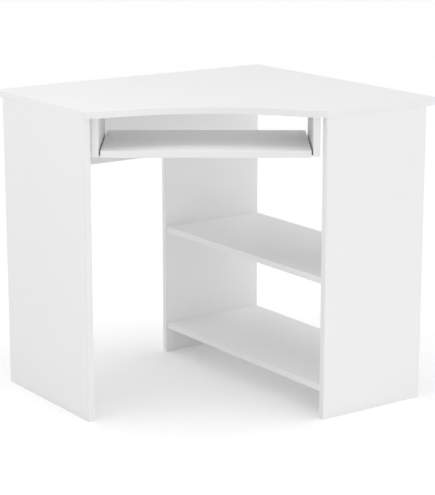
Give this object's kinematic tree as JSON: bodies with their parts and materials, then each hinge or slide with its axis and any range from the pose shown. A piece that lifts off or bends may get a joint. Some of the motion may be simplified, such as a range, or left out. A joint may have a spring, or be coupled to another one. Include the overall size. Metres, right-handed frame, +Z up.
{
  "type": "corner desk",
  "caption": "Corner desk in white-faced board: concave front edge, sliding keyboard tray on runner strips, and an open shelf tower under one side.",
  "frame": {"origin": "on the floor, at the middle of the desktop's bounding box", "axes": "+Z up; +X along the left-hand wall towards the room's corner; +Y along the right-hand wall towards the room's corner; the user sits in the -X -Y quarter and the tray slides out that way"},
  "size_m": [0.815, 0.74, 0.75],
  "materials": {
    "white_board": "white melamine face with a fine low sheen",
    "edge_band": "white plastic edging strip, satin",
    "runner_plastic": "dark grey moulded plastic",
    "plated_steel": "bright zinc plating",
    "cast_zinc": "die-cast zinc",
    "cover_plastic": "white moulded plastic",
    "beech": "plain beech, fluted dowel"
  },
  "bodies": {
    "frame": {"desktop": "white_board", "desktop_edging": "edge_band", "left_panel": "white_board", "left_panel_edging": "edge_band", "right_panel": "white_board", "right_panel_edging": "edge_band", "middle_panel": "white_board", "middle_panel_edging": "edge_band", "back_rail": "white_board", "back_rail_edging": "edge_band", "upper_shelf": "white_board", "upper_shelf_edging": "edge_band", "lower_shelf": "white_board", "lower_shelf_edging": "edge_band", "left_hanger": "white_board", "left_hanger_edging": "edge_band", "right_hanger": "white_board", "right_hanger_edging": "edge_band", "left_runner": "runner_plastic", "right_runner": "runner_plastic", "runner_screws": "plated_steel", "hanger_brackets": "plated_steel", "bracket_screws": "plated_steel", "cam_housings": "cast_zinc", "cam_bolts": "plated_steel", "cam_covers": "cover_plastic", "dowels": "beech"},
    "tray": {"keyboard_tray": "white_board", "keyboard_tray_edging": "edge_band"}
  },
  "joints": [
    {"name": "tray_slide", "type": "slide", "parent": "frame", "child": "tray", "axis": [-0.5734, -0.8193, 0], "range_m": [0, 0.149]}
  ]
}
